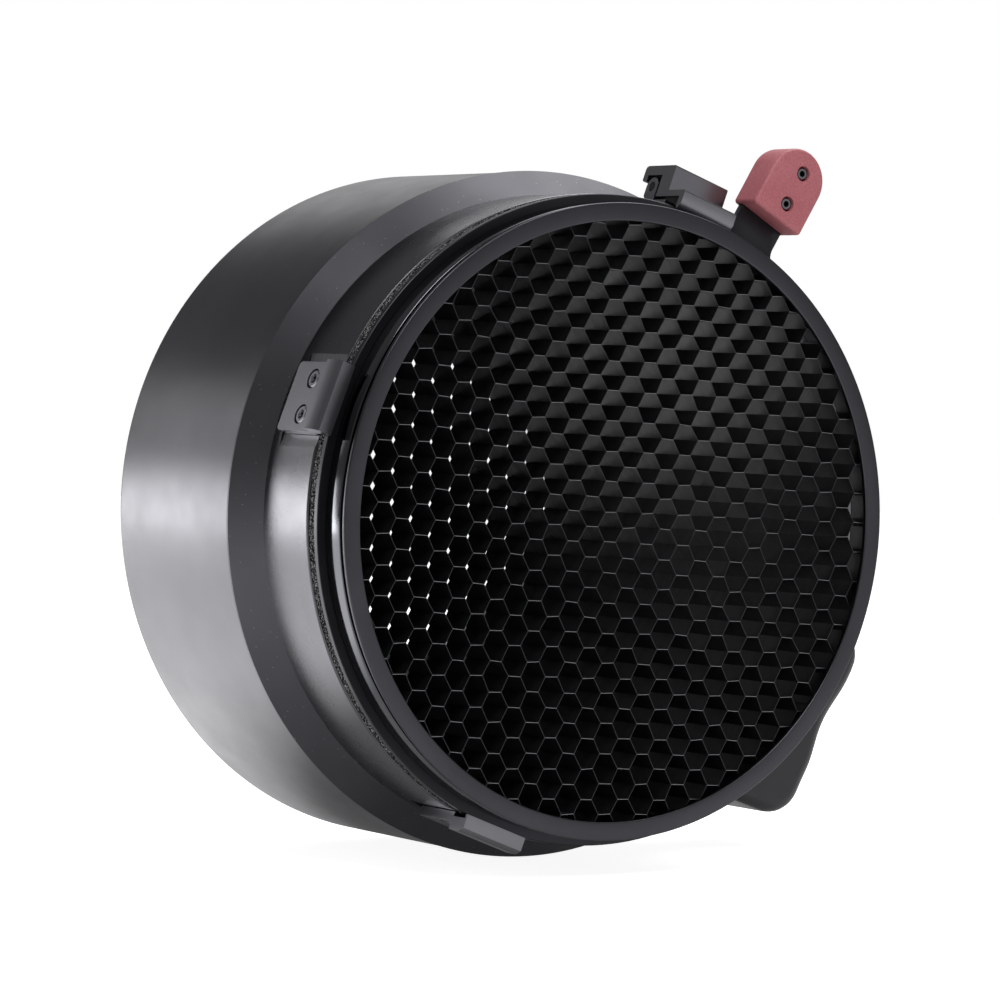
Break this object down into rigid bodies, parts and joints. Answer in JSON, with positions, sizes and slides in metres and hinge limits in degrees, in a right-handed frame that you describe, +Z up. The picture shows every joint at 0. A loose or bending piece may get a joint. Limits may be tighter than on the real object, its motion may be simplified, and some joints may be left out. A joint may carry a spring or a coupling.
{
  "type": "snoot",
  "caption": "Round black studio-light snoot: a drum with a rear bayonet, a collar with ear clips and a latch, and a turning honeycomb grid frame with a red grip.",
  "frame": {"origin": "centre of the rear bayonet flange's face, on the optical axis", "axes": "+Y along the optical axis towards the lamp, so the grid faces -Y; +Z up through the top latch; ears at -X and -Z"},
  "size_m": [0.2433, 0.1355, 0.2353],
  "materials": {
    "drum_anodised": "satin black anodised, spun",
    "collar_anodised": "semi-gloss black anodised, fine textured shoulder",
    "frame_anodised": "black anodised, satin face and glossy side",
    "fitting_anodised": "satin black anodised",
    "mount_metal": "clear anodised, turned",
    "felt": "black felt strip",
    "honeycomb_foil": "black coated foil",
    "screw_steel": "black oxide with bright edges",
    "pin_steel": "bright drawn steel",
    "red_grip": "moulded, fine matt grain",
    "grip_nylon": "smooth satin moulding"
  },
  "bodies": {
    "holder": {"drum_shell": "drum_anodised", "bayonet_ring": "mount_metal", "backing_ring": "mount_metal", "front_collar": "collar_anodised", "felt_seal": "felt", "ear_left": "fitting_anodised", "ear_bottom": "fitting_anodised", "latch_bracket": "fitting_anodised", "latch_pin": "pin_steel", "latch_spring": "pin_steel", "side_grip": "grip_nylon", "mount_screw_1": "screw_steel", "mount_screw_2": "screw_steel", "mount_screw_3": "screw_steel", "mount_screw_4": "screw_steel", "ear_left_screw_1": "screw_steel", "ear_left_screw_2": "screw_steel", "ear_bottom_screw_1": "screw_steel", "ear_bottom_screw_2": "screw_steel", "latch_screw_1": "screw_steel", "latch_screw_2": "screw_steel", "side_grip_screw_1": "screw_steel", "side_grip_screw_2": "screw_steel"},
    "grid_frame": {"grid_carrier": "frame_anodised", "grid_ring": "frame_anodised", "front_bezel": "frame_anodised", "honeycomb_core": "honeycomb_foil", "red_grip": "red_grip", "grip_screw_inner": "screw_steel", "grip_screw_outer": "screw_steel"},
    "latch": {"latch_body": "fitting_anodised"}
  },
  "joints": [
    {"name": "grid_turn", "type": "hinge", "parent": "holder", "child": "grid_frame", "pos_m": [0, -0.1148, 0], "axis": [0, 1, 0], "range_deg": [0, 150]},
    {"name": "latch_hinge", "type": "hinge", "parent": "holder", "child": "latch", "pos_m": [0, -0.0992, 0.1045], "axis": [-1, 0, 0], "range_deg": [0, 70], "stiffness_Nm_per_rad": 0.03, "springref_deg": -20.05}
  ]
}
